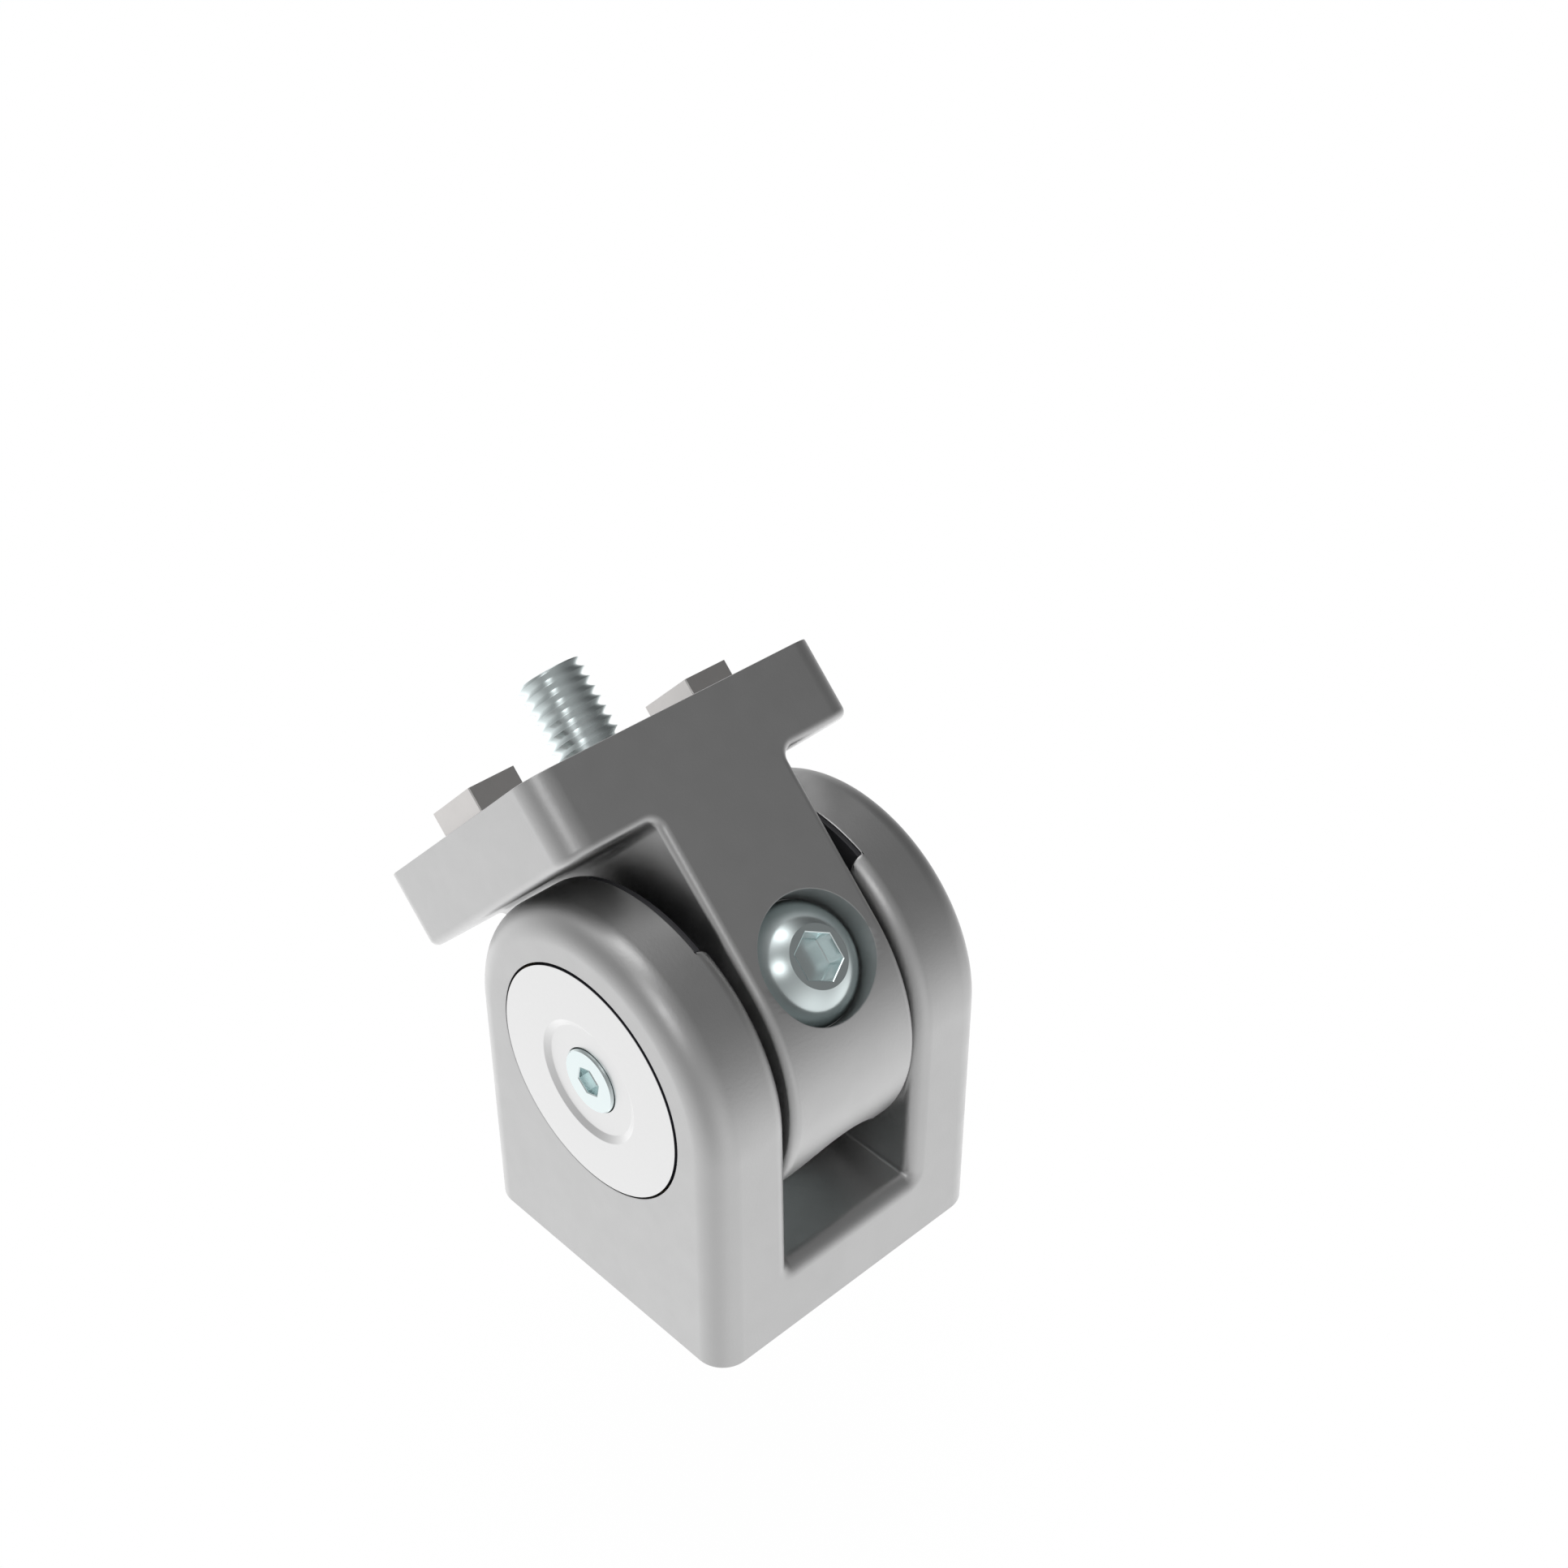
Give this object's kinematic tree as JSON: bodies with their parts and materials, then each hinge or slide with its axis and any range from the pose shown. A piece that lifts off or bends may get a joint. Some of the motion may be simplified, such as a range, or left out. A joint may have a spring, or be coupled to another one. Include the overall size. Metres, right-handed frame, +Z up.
{
  "type": "profile pivot joint",
  "caption": "Cast fork and tongue that join the ends of two square slotted profiles and swing about a pivot axis, with a screw end and slot keys on each half.",
  "frame": {"origin": "Centre of the fork's base face, where the lower profile's end rests", "axes": "X along the pivot axis to the right, Y from the front to the back, Z up along the lower profile"},
  "size_m": [0.0402, 0.0554, 0.0764],
  "materials": {
    "casting": "satin die casting",
    "zinc_steel": "bright zinc plating",
    "key_metal": "sintered, matt",
    "black_plastic": "moulded, matt",
    "bronze": "turned",
    "plain_steel": "ground",
    "bright_metal": "fine turned, bright"
  },
  "bodies": {
    "fork": {"fork": "casting", "base_screw": "zinc_steel", "base_key_left": "key_metal", "base_key_right": "key_metal", "bush_left": "black_plastic", "bush_right": "black_plastic", "friction_ring_left": "bronze", "friction_ring_right": "bronze"},
    "tongue": {"tongue": "casting", "profile_screw": "zinc_steel", "lock_screw": "zinc_steel", "tongue_key_left": "key_metal", "tongue_key_right": "key_metal", "axle": "zinc_steel", "hub_left": "bright_metal", "hub_right": "bright_metal", "hub_screw_left": "zinc_steel", "hub_screw_right": "zinc_steel", "thrust_washer_left": "plain_steel", "thrust_washer_right": "plain_steel"}
  },
  "joints": [
    {"name": "tilt", "type": "hinge", "parent": "fork", "child": "tongue", "pos_m": [0, 0, 0.03], "axis": [1, 0, 0], "range_deg": [-45, 135]}
  ]
}
